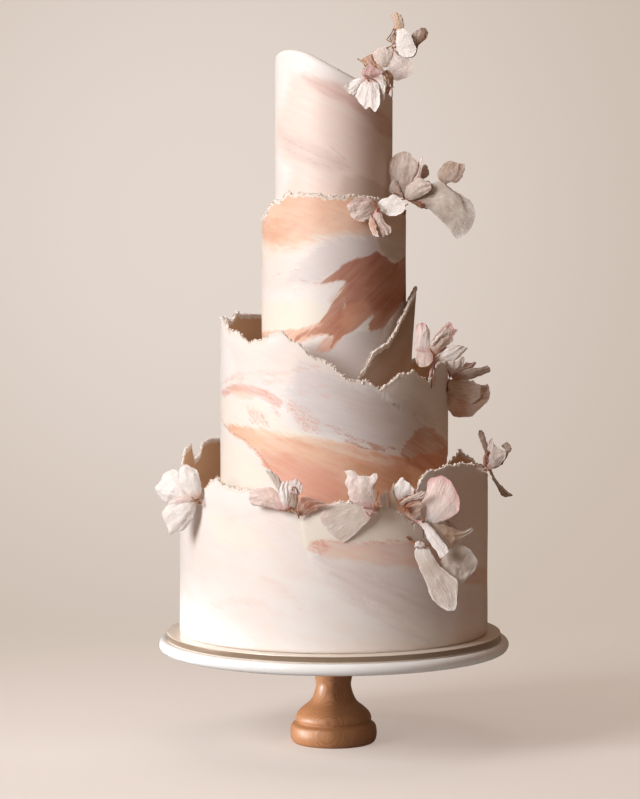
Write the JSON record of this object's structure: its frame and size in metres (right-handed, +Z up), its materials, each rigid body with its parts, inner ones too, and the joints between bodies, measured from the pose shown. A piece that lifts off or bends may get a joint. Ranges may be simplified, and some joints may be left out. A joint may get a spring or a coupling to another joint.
{
  "type": "tiered wedding cake",
  "caption": "Tall tiered wedding cake wrapped in torn-edge marbled fondant sheets with paper-petal flowers, on a plate with a turned wooden foot.",
  "frame": {"origin": "middle of the wooden foot's flat underside", "axes": "+Z up; the front, with the low torn rims and most flowers, faces -Y; +X is to the viewer's right"},
  "size_m": [0.342, 0.3276, 0.6808],
  "materials": {
    "turned_wood": "satin",
    "plate_glaze": "gloss",
    "board": "satin",
    "ledge_icing": "matte",
    "fondant_low": "matte",
    "fondant_middle": "matte",
    "fondant_upper": "matte",
    "fondant_flap": "matte",
    "fondant_top": "matte",
    "petals": "matte"
  },
  "bodies": {
    "root": {"foot": "turned_wood", "plate": "plate_glaze", "cake_board": "board", "tier_1_cake": "ledge_icing", "tier_2_cake": "ledge_icing", "tier_3_cake": "ledge_icing", "tier_1_wrap": "fondant_low", "tier_2_wrap": "fondant_middle", "tier_3_wrap": "fondant_upper", "tier_3_flap": "fondant_flap", "tier_4": "fondant_top", "crown_blossom": "petals", "crown_spray": "petals", "upper_blossom": "petals", "upper_bud": "petals", "side_blossom": "petals", "side_bud": "petals", "right_blossom": "petals", "left_blossom": "petals", "front_left_blossom": "petals", "front_blossom": "petals", "front_cup": "petals", "front_bloom": "petals", "front_fall": "petals"}
  },
  "joints": []
}
